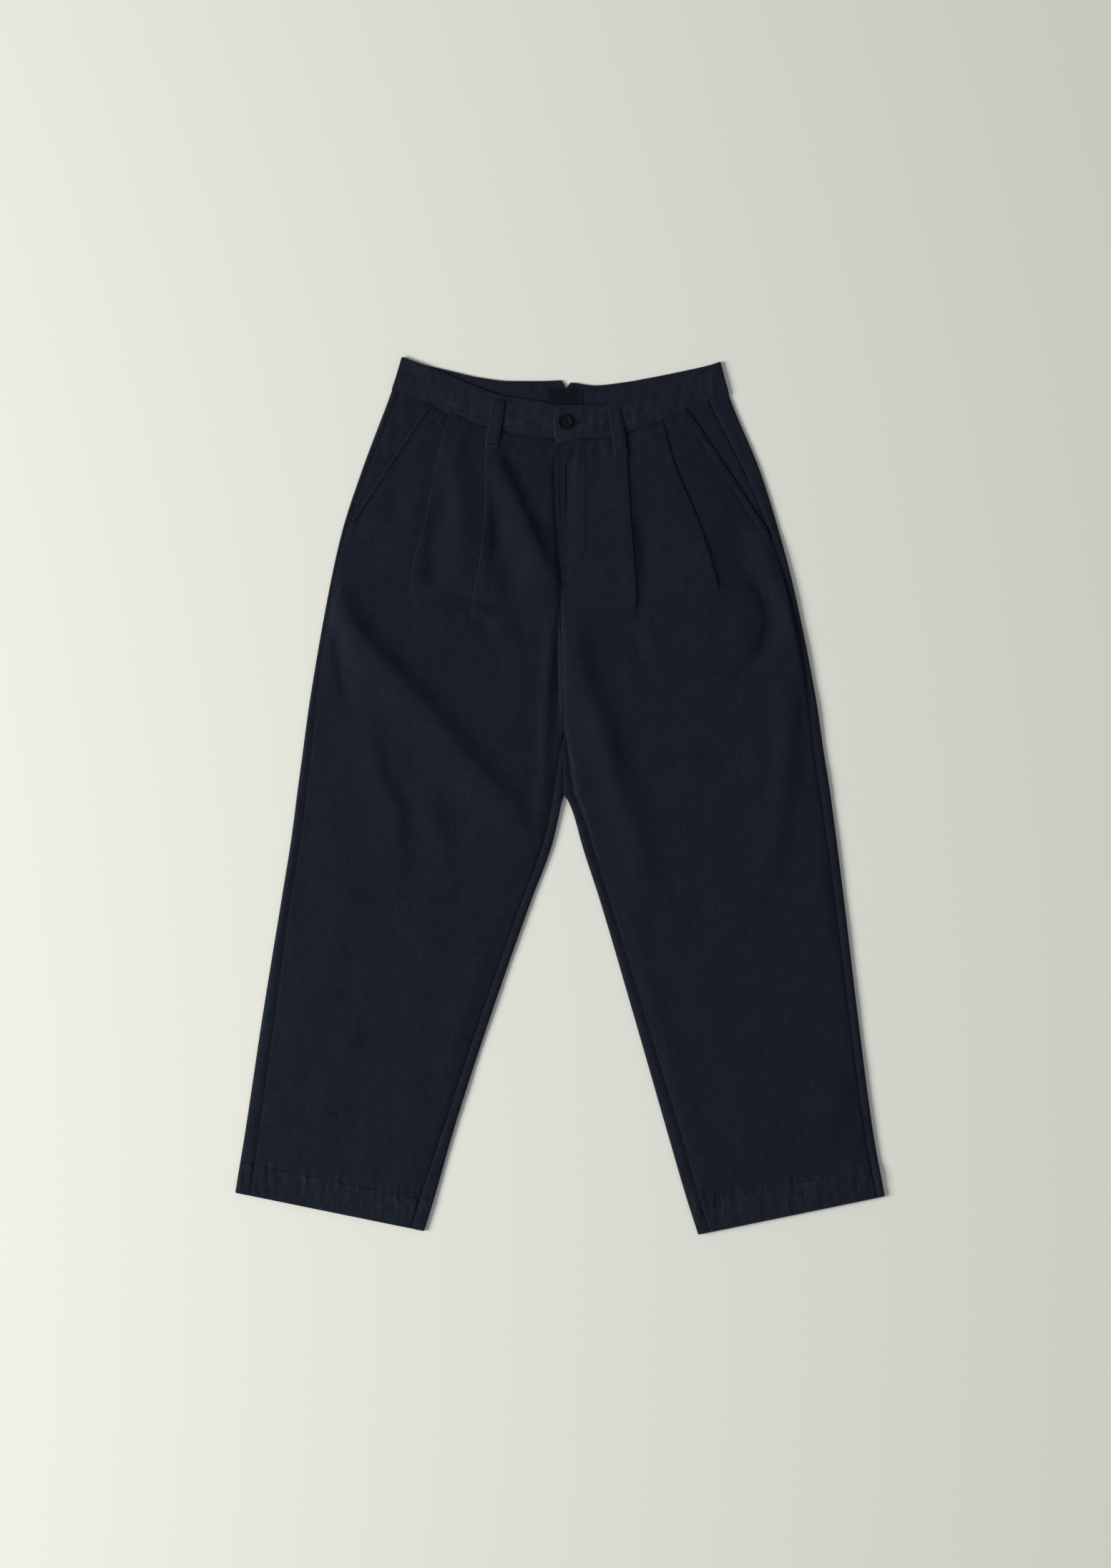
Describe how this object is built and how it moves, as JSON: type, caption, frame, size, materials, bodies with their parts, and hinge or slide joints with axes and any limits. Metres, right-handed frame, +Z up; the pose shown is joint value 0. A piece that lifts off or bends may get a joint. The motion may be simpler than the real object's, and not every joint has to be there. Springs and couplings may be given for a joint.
{
  "type": "wide-leg pleated trousers laid flat",
  "caption": "Wide-leg trousers laid flat, with forward pleats, slanted pockets, a buttoned waistband, belt loops and a fly.",
  "frame": {"origin": "middle of the laid-flat outline, on the surface they lie on", "axes": "+Y from the hems to the waist, +X towards the wearer's left, +Z up out of the front"},
  "size_m": [0.7262, 0.981, 0.0103],
  "materials": {
    "twill": "matte, softly washed cotton twill",
    "button": "satin resin",
    "label": "smooth woven tape"
  },
  "bodies": {
    "root": {"front_leg_right": "twill", "front_leg_left": "twill", "back_leg_right": "twill", "back_leg_left": "twill", "pocket_facing_right": "twill", "pocket_facing_left": "twill", "waistband_right": "twill", "waistband_left": "twill", "belt_loop_right": "twill", "belt_loop_left": "twill", "waist_button": "button", "waist_label": "label"}
  },
  "joints": []
}
